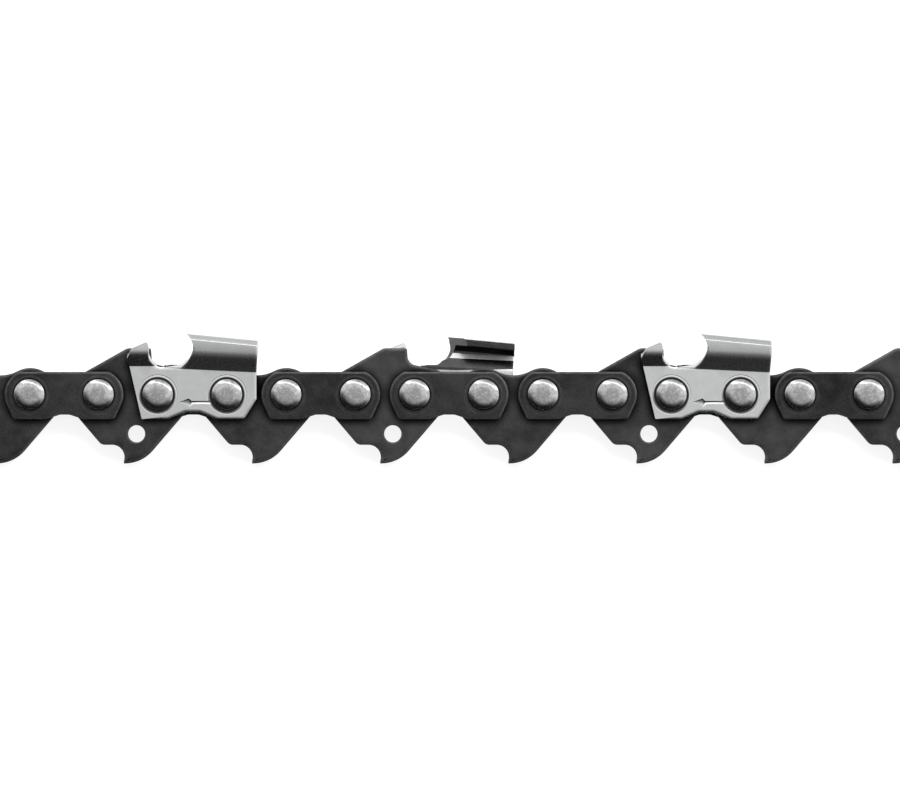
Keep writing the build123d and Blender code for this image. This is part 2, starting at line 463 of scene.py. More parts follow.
def lay_face(run: Run, step: float = 6.0) -> BMesh:
    """A flat face inside a closed run of corners and arcs.

    Args:
        run: the corners and arcs, counter-clockwise or clockwise.
        step: the widest turn between two vertices of an arc, in degrees.

    Returns:
        A mesh that holds the face, in the plane Z = 0.
    """
    mesh = bmesh.new()
    ends = []
    for index, item in enumerate(run):
        before = run[index - 1].end()
        after = run[(index + 1) % len(run)].begin()
        ends.append(item.lay(mesh, before, after, step))
    for (_, last), (first, _) in zip(ends, ends[1:] + ends[:1]):
        mesh.edges.new((last, first))
    bmesh.ops.remove_doubles(mesh, verts=mesh.verts[:], dist=OUTLINE_WELD)
    bmesh.ops.edgeloop_fill(mesh, edges=mesh.edges[:])
    return mesh


def new_verts(made: dict[str, list]) -> list[BMVert]:
    """The vertices that an operator has made."""
    return [item for item in made["geom"] if isinstance(item, BMVert)]


def shift(mesh: BMesh, verts: list[BMVert], x: float, y: float, z: float) -> None:
    """Moves some of a mesh's vertices."""
    bmesh.ops.translate(mesh, vec=(x, y, z), verts=verts)


def thicken(mesh: BMesh, height: float) -> None:
    """Extrudes the one face of a mesh upwards into a closed solid.

    Args:
        mesh: the mesh.
        height: the solid's height.
    """
    made = bmesh.ops.extrude_face_region(mesh, geom=mesh.faces[:])
    shift(mesh, new_verts(made), 0, 0, height)
    bmesh.ops.recalc_face_normals(mesh, faces=mesh.faces[:])


def cap(mesh: BMesh, up: int) -> BMFace:
    """The largest face that looks up, or down where up is -1."""
    mesh.normal_update()
    return max((f for f in mesh.faces if f.normal.z * up > LEVEL), key=lambda f: f.calc_area())


def round_edges(mesh: BMesh, edges: list[BMEdge], width: float, steps: int) -> None:
    """Rounds edges off to a width, in a number of flats."""
    bmesh.ops.bevel(
        mesh,
        geom=edges,
        offset=width,
        offset_type="OFFSET",
        segments=steps,
        profile=0.5,
        affect="EDGES",
        clamp_overlap=False,
        material=-1,
    )


@dataclass(frozen=True)
class Hole:
    """A round hole, with the profile of its rim as radius and height over the plate's upper face."""

    x: float
    y: float
    rim: Pairs
    sides: int = 64

    def open(self, mesh: BMesh, top: float) -> list[BMEdge]:
        """Makes the edge of the hole on the upper face.

        Args:
            mesh: the plate's mesh.
            top: the height of its upper face.

        Returns:
            The rim's first edges.
        """
        place = Matrix.Translation((self.x, self.y, top))
        made = bmesh.ops.create_circle(mesh, segments=self.sides, radius=self.rim[0][0], matrix=place)
        return list({edge for vertex in made["verts"] for edge in vertex.link_edges})

    def sink(self, mesh: BMesh, edges: list[BMEdge], top: float, bottom: float) -> list[BMEdge]:
        """Extrudes the rim along its profile, down to the lower face.

        Args:
            mesh: the plate's mesh.
            edges: the rim's first edges.
            top: the height of the upper face.
            bottom: the height of the lower face.

        Returns:
            The hole's edges on the lower face.
        """
        radius, height = self.rim[0][0], top
        steps = [(r, top + z) for r, z in self.rim[1:]] + [(self.rim[-1][0], bottom)]
        for next_radius, next_height in steps:
            made = bmesh.ops.extrude_edge_only(mesh, edges=edges)
            verts = new_verts(made)
            ratio = next_radius / radius
            about = Matrix.Translation((-self.x, -self.y, 0))
            bmesh.ops.scale(mesh, vec=(ratio, ratio, 1), space=about, verts=verts)
            shift(mesh, verts, 0, 0, next_height - height)
            inside = set(verts)
            edges = list({e for v in verts for e in v.link_edges if e.verts[0] in inside and e.verts[1] in inside})
            radius, height = next_radius, next_height
        return edges


@dataclass(frozen=True)
class Region:
    """A box in X and Y, empty unless it is given sizes."""

    low: tuple[float, float] = (0.0, 0.0)
    high: tuple[float, float] = (0.0, 0.0)

    def holds(self, point: Vector) -> bool:
        """Whether a point lies inside."""
        return self.low[0] < point.x < self.high[0] and self.low[1] < point.y < self.high[1]


@dataclass
class Plate:
    """A plate stamped from sheet steel: rolled over along its near edge and sharp along the other."""

    thickness: float
    bottom: float
    roll: float = 0.04
    roll_steps: int = 2
    slopes: Pairs = ((0.1, 0.08), (0.09, 0.035), (0.34, 0.032))
    burr: float = 0.06
    support: float = 0.02
    sharp_box: Region = Region()
    sharp_share: float = 0.05

    @property
    def top(self) -> float:
        """The height of the plate's near face."""
        return self.bottom + self.thickness

    def stamp(self, run: Run, holes: Iterable[Hole]) -> BMesh:
        """Stamps the plate from its outline and holes.

        Args:
            run: the outline.
            holes: the holes.

        Returns:
            The plate's closed mesh.
        """
        mesh = lay_face(run)
        thicken(mesh, self.thickness - sum(rise for _, rise in self.slopes))
        shift(mesh, mesh.verts[:], 0, 0, self.bottom)
        round_edges(mesh, cap(mesh, 1).edges[:], self.roll, self.roll_steps)
        round_edges(mesh, cap(mesh, -1).edges[:], self.burr, 1)
        for width, rise in self.slopes:
            self.ease(mesh, width, rise)
        self.pierce(mesh, list(holes))
        return mesh

    def ease(self, mesh: BMesh, width: float, rise: float) -> None:
        """Slopes the near face's border, and closes the small rounds that this turns inside out.

        Args:
            mesh: the plate's mesh.
            width: the slope's width.
            rise: its height.
        """
        face = cap(mesh, 1)
        bmesh.ops.inset_individual(mesh, faces=[face], thickness=width, depth=rise)
        pairs = [(loop, loop.link_loop_radial_next.link_loop_next.link_loop_next) for loop in cap(mesh, 1).loops]
        for loop, outer in pairs:
            if self.sharp_box.holds(outer.vert.co):
                loop.vert.co.xy = outer.vert.co.xy.lerp(loop.vert.co.xy, self.sharp_share)
        turned = []
        for loop, outer in pairs:
            way = loop.link_loop_next.vert.co - loop.vert.co
            if way.dot(outer.link_loop_next.vert.co - outer.vert.co) <= 0:
                turned.append(loop.edge)
        bmesh.ops.collapse(mesh, edges=turned)

    def pierce(self, mesh: BMesh, holes: list[Hole]) -> None:
        """Opens the holes, each face filled again round them.

        Args:
            mesh: the plate's mesh.
            holes: the holes.
        """
        upper = cap(mesh, 1)
        bmesh.ops.inset_individual(mesh, faces=[upper], thickness=self.support)
        rims = [hole.open(mesh, self.top) for hole in holes]
        self.refill(mesh, cap(mesh, 1), [edge for rim in rims for edge in rim])
        feet = [hole.sink(mesh, rim, self.top, self.bottom) for hole, rim in zip(holes, rims)]
        self.refill(mesh, cap(mesh, -1), [edge for foot in feet for edge in foot])
        bmesh.ops.recalc_face_normals(mesh, faces=mesh.faces[:])

    @staticmethod
    def refill(mesh: BMesh, face: BMFace, rims: list[BMEdge]) -> None:
        """Puts a face with holes in the place of a face without.

        Args:
            mesh: the plate's mesh.
            face: the face to replace.
            rims: the edges of the holes in it.
        """
        border = face.edges[:]
        bmesh.ops.delete(mesh, geom=[face], context="FACES_ONLY")
        bmesh.ops.triangle_fill(mesh, use_beauty=True, edges=border + rims)


@dataclass(frozen=True)
class Spot:
    """The node that a piece stands for, its place, what sets its grain apart, its finishes and its side."""

    node: str
    x: float
    seed: float
    finishes: Sequence[Material]
    layer: Layer = Layer.NEAR


def scene_object(name: str, data: bpy.types.ID) -> Object:
    """Makes an object and links it to the scene.

    Args:
        name: the object's name.
        data: its mesh, lamp or camera.

    Returns:
        The object.
    """
    made = bpy.data.objects.new(name, data)
    bpy.context.scene.collection.objects.link(made)
    return made


def mesh_object(name: str, mesh: BMesh) -> Object:
    """Makes an object of a shaped mesh as it stands.

    Args:
        name: the object's name.
        mesh: the mesh, used up by this.

    Returns:
        The object.
    """
    data = bpy.data.meshes.new(name)
    mesh.to_mesh(data)
    mesh.free()
    return scene_object(name, data)


def piece_object(mesh: BMesh, spot: Spot) -> Object:
    """Makes a piece of a shaped mesh, on its side, in metres and in its place.

    Args:
        mesh: the mesh in millimetres about its own start, used up by this.
        spot: where the piece belongs.

    Returns:
        The object.
    """
    if spot.layer is Layer.FAR:
        bmesh.ops.scale(mesh, vec=(1, 1, -1), verts=mesh.verts[:])
        bmesh.ops.recalc_face_normals(mesh, faces=mesh.faces[:])
    own = [vertex.co.copy() for vertex in mesh.verts]
    shift(mesh, mesh.verts[:], spot.x, 0, 0)
    bmesh.ops.scale(mesh, vec=(MM, MM, MM), verts=mesh.verts[:])
    made = mesh_object(f"smooth_{spot.node}", mesh)
    grain = made.data.attributes.new(GRAIN, "FLOAT_VECTOR", "POINT")
    for item, point in zip(grain.data, own):
        item.vector = point + Vector((0, 0, GRAIN_STEP * spot.seed))
    for finish in spot.finishes:
        made.data.materials.append(finish)
    made.data.shade_smooth()
    made.data.set_sharp_from_angle(angle=SHARP_ANGLE)
    return made


@dataclass
class DriveLink:
    """A drive link about the middle between its two holes: round ends, hooked tail, on some a guard."""

    kind: LinkKind
    spacing: float = 8.59
    lobe: float = 3.87
    dip: float = 2.8
    hole: float = 2.0
    plate: Plate = field(default_factory=lambda: Plate(1.3, -0.65))
    shoulder: float = 0.9
    front_shoulder: float = -2.4
    rear_shoulder: float = -2.68
    step: tuple[float, float] = (-3.98, -7.32)
    step_round: float = 1.1
    hook_x: float = -2.41
    hook: float = 1.79
    hook_turn: float = 17.0
    tail: float = -10.04
    tail_x: float = 1.86
    tail_round: float = 5.25
    guard: float = 6.74
    guard_ramp: float = 29.4
    guard_round: float = 1.2
    guard_rear: float = 3.2
    guard_tip: float = 0.3
    foot: tuple[float, float] = (3.35, 4.5)
    foot_round: float = 1.3
    saddle: float = 3.45
    saddle_round: float = 0.8
    oil_hole: tuple[float, float] = (1.12, -5.72)
    oil_radius: float = 1.25
    rivet_rim: Pairs = ((0.2, 0), (0.17, 0), (0.07, -0.04), (0.01, -0.13), (0, -0.22))
    oil_rim: Pairs = ((0.26, 0), (0.22, 0), (0.1, -0.04), (0.02, -0.14), (0, -0.26))

    def top_run(self) -> list[Corner | Arc]:
        """The upper edge, from the rear to the front."""
        half = self.spacing / 2
        if self.kind is LinkKind.PLAIN:
            dip_radius = (half**2 + self.dip**2 - self.lobe**2) / (2 * (self.lobe - self.dip))
            turn = math.degrees(math.atan2(self.dip + dip_radius, half))
            return [
                Arc(half, 0, self.lobe, 0, 180 - turn),
                Arc(0, self.dip + dip_radius, dip_radius, -turn, turn - 180),
                Arc(-half, 0, self.lobe, turn, 180),
            ]
        side = half + self.lobe
        front = Arc(-half, 0, self.lobe, 90 + self.guard_ramp, 180)
        ramp = front.begin()
        crest = ramp.x + (self.guard - ramp.y) / math.tan(math.radians(self.guard_ramp))
        return [
            Corner(side, 0),
            Corner(side, self.saddle, self.saddle_round),
            Corner(self.foot[0], self.foot[1], self.foot_round),
            Corner(self.guard_rear, self.guard, self.guard_tip),
            Corner(crest, self.guard, self.guard_round),
            front,
        ]

    def tail_run(self) -> list[Corner | Arc]:
        """The lower edge with the hook, from the front to the rear."""
        side = self.spacing / 2 + self.lobe
        hook = Arc(self.hook_x, self.step[1] - self.hook, self.hook, 90, -self.hook_turn)
        run = [
            Corner(-side, self.front_shoulder, self.shoulder),
            Corner(self.step[0], self.step[1], self.step_round),
            hook,
            Corner(hook.end().x, self.tail),
            Corner(self.tail_x, self.tail, self.tail_round),
            Corner(side, self.rear_shoulder, self.shoulder),
        ]
        return run

    def holes(self) -> list[Hole]:
        """The two rivet holes, and the oil hole of a guarded link."""
        rim = tuple((self.hole + wider, height) for wider, height in self.rivet_rim)
        holes = [Hole(x, 0, rim) for x in (-self.spacing / 2, self.spacing / 2)]
        if self.kind is LinkKind.GUARD:
            oil = tuple((self.oil_radius + wider, height) for wider, height in self.oil_rim)
            holes.append(Hole(self.oil_hole[0], self.oil_hole[1], oil))
        return holes

    def build(self, spot: Spot) -> Object:
        """Builds the link about the middle between its holes."""
        return piece_object(self.plate.stamp(self.top_run() + self.tail_run(), self.holes()), spot)


@dataclass
class SidePlate:
    """What a tie strap and a cutter share: two rivet seats and an arched lower edge."""

    spacing: float = 10.05
    foot_depth: float = -3.6
    arch_foot: float = 2.8
    arch_crest: float = 0.8
    arch_rise: float = 0.67
    arch_round: float = 1.4
    lip: float = 0.04
    seat_edge: Pairs = ((2.905, 0), (2.88, 0))
    seat_lip: Pairs = (
        (2.85, -0.3), (2.81, -0.4), (2.76, -0.2), (2.7, 0.05), (2.6, 0.45),
        (2.5, 0.8), (2.42, 1), (2.36, 0.9), (2.32, 0.3),
    )
    seat_hole: Pairs = ((2.3, -0.1), (2.28, -0.26), (1.57, -0.26))
    seat_sides: int = 72

    def seats(self) -> list[Hole]:
        """The two seats that the rivets' heads have pressed into the plate, each with a raised lip."""
        rim = (*self.seat_edge, *((radius, share * self.lip) for radius, share in self.seat_lip), *self.seat_hole)
        return [Hole(x, 0, rim, self.seat_sides) for x in (0, self.spacing)]

    def arch(self) -> list[Corner]:
        """The arch between the feet, from front to rear."""
        middle, low, high = self.spacing / 2, self.foot_depth, self.foot_depth + self.arch_rise
        places = ((-self.arch_foot, low), (-self.arch_crest, high), (self.arch_crest, high), (self.arch_foot, low))
        return [Corner(middle + x, y, self.arch_round) for x, y in places]


@dataclass
class TieStrap(SidePlate):
    """A tie strap about its leading rivet."""

    end: float = 3.6
    end_turn: float = 27.0
    top: float = 3.29
    foot_x: float = 2.3
    foot_round: float = 0.5
    plate: Plate = field(
        default_factory=lambda: Plate(1.1, 0.7, slopes=((0.08, 0.065), (0.06, 0.026), (0.2, 0.022)))
    )

    def run(self) -> list[Corner | Arc]:
        """The outline, from the front end over the lower edge to the rear end."""
        turn = math.degrees(math.asin(self.top / self.end))
        return [
            Arc(0, 0, self.end, 180 - turn, 180 + self.end_turn),
            Corner(-self.foot_x, self.foot_depth, self.foot_round),
            *self.arch(),
            Corner(self.spacing + self.foot_x, self.foot_depth, self.foot_round),
            Arc(self.spacing, 0, self.end, -self.end_turn, turn),
        ]

    def build(self, spot: Spot) -> Object:
        """Builds the strap about its leading rivet."""
        return piece_object(self.plate.stamp(self.run(), self.seats()), spot)


@dataclass
class Rivet:
    """A rivet: a hub between the plates, a shank through each, and a spun head outside each."""

    head: Pairs = (
        (0.0, 2.506), (0.6, 2.504), (1.0, 2.497), (1.35, 2.475), (1.6, 2.435),
        (1.8, 2.36), (1.98, 2.25), (2.1, 2.16), (2.2, 2.075), (2.2, 1.5),
    )
    stem: Pairs = ((1.55, 1.5), (1.55, 0.7), (1.95, 0.68))
    sides: int = 72

    def build(self, spot: Spot) -> Object:
        """Spins the rivet's profile about its axis.

        Args:
            spot: where the rivet belongs.

        Returns:
            The object.
        """
        mesh = bmesh.new()
        upper = [*self.head, *self.stem]
        profile = upper + [(radius, -height) for radius, height in reversed(upper)]
        verts = [mesh.verts.new((radius, 0, height)) for radius, height in profile]
        edges = [mesh.edges.new(pair) for pair in zip(verts, verts[1:])]
        bmesh.ops.spin(
            mesh,
            geom=verts + edges,
            cent=(0, 0, 0),
            axis=(0, 0, 1),
            angle=2 * math.pi,
            steps=self.sides,
            use_merge=True,
            use_duplicate=False,
        )
        bmesh.ops.remove_doubles(mesh, verts=mesh.verts[:], dist=WELD)
        bmesh.ops.recalc_face_normals(mesh, faces=mesh.faces[:])
        return piece_object(mesh, spot)


@dataclass(frozen=True)
class Fold:
    """The bent section of a cutter at one place along it: its outer and inner lines, in Y and Z."""

    outer: tuple[Vector, ...]
    inner: tuple[Vector, ...]
    reach: tuple[float, ...]

    @staticmethod
    def through(
        outer: Sequence[tuple[float, float]], inner: Sequence[tuple[float, float]], cuts: Sequence[tuple[float, float]]
    ) -> "Fold":
        """A fold through given corners, each rounded.

        Args:
            outer: the corners of the outer line, with its two ends.
            inner: the corners of the inner line, with its two ends.
            cuts: how far from each corner its round begins, on the outer and the inner line.

        Returns:
            The fold, its reach counted along the outer line from the height 0.
        """
        sides = []
        for line, which in ((outer, 0), (inner, 1)):
            corners = [Vector(point) for point in line]
            points = [corners[0]]
            for before, tip, after, cut in zip(corners, corners[1:], corners[2:], cuts):
                start = tip + (before - tip).normalized() * cut[which]
                finish = tip + (after - tip).normalized() * cut[which]
                for share in (0.0, 0.2, 0.4, 0.6, 0.8, 1.0):
                    points.append(start.lerp(tip, share).lerp(tip.lerp(finish, share), share))
            sides.append(tuple(points + [corners[-1]]))
        reach = [sides[0][0].x]
        for before, after in zip(sides[0], sides[0][1:]):
            reach.append(reach[-1] + (after - before).length)
        return Fold(sides[0], sides[1], tuple(reach))

    @staticmethod
    def between(first: "Fold", second: "Fold", share: float) -> "Fold":
        """A fold in line with two others, at a share of the way from the first."""
        return Fold(
            tuple(a.lerp(b, share) for a, b in zip(first.outer, second.outer)),
            tuple(a.lerp(b, share) for a, b in zip(first.inner, second.inner)),
            tuple(a + share * (b - a) for a, b in zip(first.reach, second.reach)),
        )

    def at(self, distance: float, depth: float) -> Vector:
        """The place of a point of the flat plate once it is bent.

        Args:
            distance: how far it lies along the outer line.
            depth: how deep it lies, from 0 on the outer line to 1 on the inner one.

        Returns:
            Its Y and Z.
        """
        index = 0
        while index < len(self.reach) - 2 and self.reach[index + 1] < distance:
            index += 1
        share = (distance - self.reach[index]) / (self.reach[index + 1] - self.reach[index])
        out = self.outer[index].lerp(self.outer[index + 1], share)
        return out.lerp(self.inner[index].lerp(self.inner[index + 1], share), depth)

    def distance(self, height: float) -> float:
        """How far along the outer line a height in Y lies.

        Args:
            height: the height.

        Returns:
            The distance.
        """
        for index in range(len(self.outer) - 1):
            low, high = self.outer[index].x, self.outer[index + 1].x
            if high >= height:
                share = (height - low) / (high - low)
                return self.reach[index] + share * (self.reach[index + 1] - self.reach[index])
        return self.reach[-1]


@dataclass
class Cutter(SidePlate):
    """A cutter about its leading rivet: side plate, tooth with folded top plate, and depth gauge."""

    arch_foot: float = 3.6
    arch_crest: float = 1.1
    arch_rise: float = 1.07
    lip: float = 0.048
    near: float = 1.8
    far: float = 0.7
    front: tuple[float, float] = (-4.1, 3.96)
    front_foot_x: float = -2.36
    front_foot_round: float = 0.25
    heel_x: float = 4.28
    heel_drop: float = -0.7
    heel_round: float = 0.5
    rear_foot_x: float = 2.47
    rear_foot_round: float = 0.6
    bend: float = 3.75
    bend_fall: float = 0.55
    lean: float = 2.25
    lean_out: float = 1.0
    upright: float = 2.15
    upright_slope: float = 0.1
    bevel: tuple[float, float] = (0.6, 0.8)
    inner_bevel: float = 0.3
    rounds: Pairs = ((0.06, 0.3), (0.6, 0.22), (0.1, 0.08), (0.2, 0.12))
    heel_rise: float = 0.3
    top_fall: float = 1.1
    top_width: float = 4.4
    top_thickness: float = 1.05
    tooth_front: float = 3.68
    overhang: float = 4.5
    gullet: float = 3.93
    gullet_rear: float = 3.1
    gullet_round: float = 1.9
    throat: Arc = Arc(1.08, 7.35, 4.1, -8.0, -56.5)
    # where the painted shade on the tooth's inner side begins below the bend, at the front and at the rear
    painted_shade_drop: tuple[float, float] = (0.1, 0.5)
    # the painted glint: how far above the bend it starts, and its width
    glint_rise: float = 1.15
    glint_width: float = 1.1
    free_edge: float = 0.4
    skin: float = 0.1
    split: float = 0.9
    gauge_bend: float = 4.13
    gauge_lean: float = 1.7
    gauge_corners: tuple[tuple[float, float, float], ...] = (
        (-4.45, 5.2, 0.5), (-3.75, 6.75, 1.0), (-1.5, 7.7, 0.25), (-1.28, 7.02, 0.0)
    )
    gauge_rear: float = -1.28
    file_radius: float = 2.0
    file_x: float = 2.84
    file_y: float = 6.95
    file_turn: float = 30.0
    tool_length: float = 30.0
    edge_room: float = 4.0
    edge_spare: float = 0.2
    arrow: Pairs = (
        (3.05, -1.13), (4.5, -0.56), (4.92, -0.93), (7.75, -0.93), (7.75, -1.37), (5.1, -1.37), (4.56, -1.88)
    )
    arrow_height: float = 0.3
    arrow_depth: float = 0.1
    arrow_wall: float = 0.2
    plate: Plate = field(
        default_factory=lambda: Plate(
            1.1,
            0.7,
            roll=0.03,
            slopes=((0.08, 0.046), (0.1, 0.02), (0.2, 0.014)),
            sharp_box=Region((-4.6, -3.8), (-1.2, 12.0)),
        )
    )

    @property
    def rear(self) -> float:
        """Where the tooth's upper part ends along X."""
        return self.spacing + self.overhang

    def fold(self, x: float) -> Fold:
        """The bent section at a place along the cutter.

        Args:
            x: the place along X, from the leading rivet.

        Returns:
            The section.
        """
        if x < self.split:
            return self.section(self.gauge_bend, self.gauge_lean, self.upright + self.bevel[1], 0.0)
        front = self.section(self.bend, self.lean, self.upright, self.upright_slope)
        tail = self.upright + self.bend_fall - self.top_fall
        rear = self.section(self.bend - self.bend_fall, self.lean, tail, self.upright_slope)
        share = (x - self.gullet_rear) / (self.rear - self.gullet_rear)
        return Fold.between(front, rear, share)

    def section(self, bend: float, lean: float, upright: float, slope: float) -> Fold:
        """A bent section with its bends at given heights.

        Args:
            bend: the height where the plate starts to lean outwards.
            lean: the height of the leaning part.
            upright: the height of the upright part.
            slope: how far the upright part leans out over its height.

        Returns:
            The section.
        """
        out = self.near + self.lean_out
        into = out - (self.near - self.far)
        top = bend + lean + upright + self.bevel[1]
        mitre = (self.near - self.far) * math.tan(math.atan2(self.lean_out, lean) / 2)
        end = out - self.top_width
        outer = (
            (-12.0, self.near),
            (bend, self.near),
            (bend + lean, out - slope),
            (top - self.bevel[1], out),
            (top, out - self.bevel[0]),
            (top, end),
        )
        under = top - self.top_thickness
        inner = (
            (-12.0, self.far),
            (bend + mitre, self.far),
            (bend + lean + mitre, into),
            (under - self.bevel[1], into),
            (under, into - self.inner_bevel),
            (under, end),
        )
        return Fold.through(outer, inner, self.rounds)

    def flat_run(self) -> list[Corner | Arc]:
        """The outline of the plate before it is bent, with room in front of the tooth for the file."""
        heel = self.spacing + self.heel_x
        gauge = self.fold(self.gauge_rear)
        start, back = self.fold(self.gullet_rear), self.fold(self.rear)
        return [
            Corner(self.front_foot_x, self.foot_depth, self.front_foot_round),
            *self.arch(),
            Corner(self.spacing + self.rear_foot_x, self.foot_depth, self.rear_foot_round),
            Corner(heel, self.heel_drop, self.heel_round),
            Corner(heel, back.distance(self.bend - self.bend_fall)),
            Corner(self.rear, back.distance(self.bend + self.lean + self.heel_rise)),
            Corner(self.rear, back.reach[-1]),
            Corner(self.gullet_rear, start.reach[-1]),
            Corner(self.gullet_rear, self.throat.begin().y),
            self.throat,
            Corner(self.gauge_rear, self.gullet, self.gullet_round),
            *[Corner(x, gauge.distance(y), r) for x, y, r in reversed(self.gauge_corners)],
            Corner(self.front[0], self.front[1]),
        ]

    def bend_plate(self, mesh: BMesh) -> None:
        """Cuts the flat plate along its bends and bends it.

        Args:
            mesh: the flat plate.
        """
        self.cut(mesh, 0, Vector((self.split, 0, 0)), Vector((1, 0, 0)))
        for reach in self.fold(self.gauge_rear).reach[1:]:
            self.cut(mesh, -1, Vector((0, reach, 0)), Vector((0, 1, 0)))
        for low, high in zip(self.fold(self.gullet_rear).reach[1:-1], self.fold(self.rear).reach[1:-1]):
            self.cut_tooth(mesh, low, high)
        self.mark_painted_light(mesh)
        for vertex in mesh.verts:
            depth = (self.near - vertex.co.z) / (self.near - self.far)
            place = self.fold(vertex.co.x).at(vertex.co.y, depth)
            vertex.co.y, vertex.co.z = place.x, place.y

    def mark_painted_light(self, mesh: BMesh) -> None:
        """Paints shade on the inner side and the free edge of the tooth as dark chrome, and a glint as bright chrome
        in a band along the inner side.

        Args:
            mesh: the flat plate.
        """
        start, end = self.gullet_rear, self.rear
        rise = self.bend + self.glint_rise
        lines = (
            (self.bend - self.painted_shade_drop[0], self.bend - self.painted_shade_drop[1]),
            (self.fold(start).distance(rise), self.fold(end).distance(rise - self.bend_fall)),
        )
        for low, high in lines:
            self.cut_tooth(mesh, low, high)
        free = self.fold(end).reach[-1] - self.free_edge
        for face in mesh.faces:
            middle = face.calc_center_median()
            share = (middle.x - start) / (end - start)
            low, high = (a + share * (b - a) for a, b in lines)
            crest = rise + self.glint_width - self.bend_fall * share
            glint = high < middle.y < self.fold(middle.x).distance(crest)
            inner = middle.z < self.far + self.skin and middle.y > low
            rim = middle.y > free and middle.z < self.near - self.skin
            if middle.x > self.split and (inner or rim):
                # a painted glint in its band on the inner side, painted shade on the rest
                face.material_index = Skin.PAINTED_GLINT if inner and glint else Skin.PAINTED_SHADE

    def cut_tooth(self, mesh: BMesh, low: float, high: float) -> None:
        """Cuts the tooth's part along a line, from low at its front to high at its rear."""
        across = Vector((low - high, self.rear - self.gullet_rear, 0)).normalized()
        self.cut(mesh, 1, Vector((self.gullet_rear, low, 0)), across)

    def cut(self, mesh: BMesh, side: int, point: Vector, normal: Vector) -> None:
        """Cuts the faces of one part of the plate along a plane.

        Args:
            mesh: the flat plate.
            side: 1 for the tooth's part, -1 for the gauge's and 0 for both.
            point: a point of the plane.
            normal: the plane's normal.
        """
        faces = [f for f in mesh.faces if side == 0 or side * (f.calc_center_median().x - self.split) > 0]
        edges = {edge for face in faces for edge in face.edges}
        verts = {vertex for face in faces for vertex in face.verts}
        bmesh.ops.bisect_plane(mesh, geom=[*verts, *edges, *faces], dist=WELD, plane_co=point, plane_no=normal)

    def lean_tool(self, mesh: BMesh, x: float) -> BMesh:
        """Leans a tool at the file's angle and sets it to the tooth.

        Args:
            mesh: the tool about its own axis.
            x: where its axis goes along X.

        Returns:
            The same mesh.
        """
        turn = Matrix.Rotation(-math.radians(self.file_turn), 3, "Y")
        bmesh.ops.rotate(mesh, cent=(0, 0, 0), matrix=turn, verts=mesh.verts[:])
        shift(mesh, mesh.verts[:], x, self.file_y, self.near + self.lean_out)
        return mesh

    def file_tool(self) -> BMesh:
        """The room that the round file takes from the tooth."""
        mesh, radius = bmesh.new(), self.file_radius
        bmesh.ops.create_cone(mesh, cap_ends=True, segments=96, radius1=radius, radius2=radius, depth=self.tool_length)
        return self.lean_tool(mesh, self.file_x)

    def edge_tool(self) -> BMesh:
        """The room in front of the leading edge, above the file's middle."""
        mesh = bmesh.new()
        bmesh.ops.create_cube(mesh, size=1)
        size = (self.edge_room, 2 * self.file_radius + self.edge_spare, self.tool_length)
        bmesh.ops.scale(mesh, vec=size, verts=mesh.verts[:])
        shift(mesh, mesh.verts[:], -self.edge_room / 2, self.file_radius, 0)
        return self.lean_tool(mesh, self.tooth_front)

    def arrow_tool(self) -> BMesh:
        """The stamp of the direction arrow between the rivets."""
        mesh = lay_face([Corner(x, y) for x, y in self.arrow])
        thicken(mesh, self.arrow_height)
        shift(mesh, mesh.verts[:], 0, 0, self.near - SINK)
        bmesh.ops.inset_individual(mesh, faces=[cap(mesh, -1)], thickness=self.arrow_wall, depth=self.arrow_depth)
        return mesh

    def build(self, spot: Spot) -> Object:
        """Builds the cutter about its leading rivet.

        Args:
            spot: where the cutter belongs, with a finish for each skin.

        Returns:
            The object.
        """
        mesh = self.plate.stamp(self.flat_run(), self.seats())
        self.bend_plate(mesh)
        mesh = carve(mesh, self.file_tool(), Skin.FILED)
        mesh = carve(mesh, self.edge_tool(), Skin.FILED)
        return piece_object(carve(mesh, self.arrow_tool(), Skin.CHROME), spot)


def carve(mesh: BMesh, tool: BMesh, skin: Skin) -> BMesh:
    """Takes a tool's room away from a closed mesh.

    Args:
        mesh: the mesh, used up by this.
        tool: the tool, used up by this.
        skin: the finish of the faces that the tool leaves.

    Returns:
        The carved mesh.
    """
    for face in tool.faces:
        face.material_index = skin
    work, cutter = mesh_object("work", mesh), mesh_object("tool", tool)
    for made in (work, cutter):
        for _ in Skin:
            made.data.materials.append(None)
    modifier = work.modifiers.new("carve", "BOOLEAN")
    modifier.operation = "DIFFERENCE"
    modifier.solver = "EXACT"
    modifier.object = cutter
    graph = bpy.context.evaluated_depsgraph_get()
    carved = bmesh.new()
    carved.from_object(work, graph)
    for made in (work, cutter):
        data = made.data
        bpy.data.objects.remove(made)
        bpy.data.meshes.remove(data)
    bmesh.ops.remove_doubles(carved, verts=carved.verts[:], dist=WELD)
    bmesh.ops.dissolve_degenerate(carved, edges=carved.edges[:], dist=WELD)
    return carved


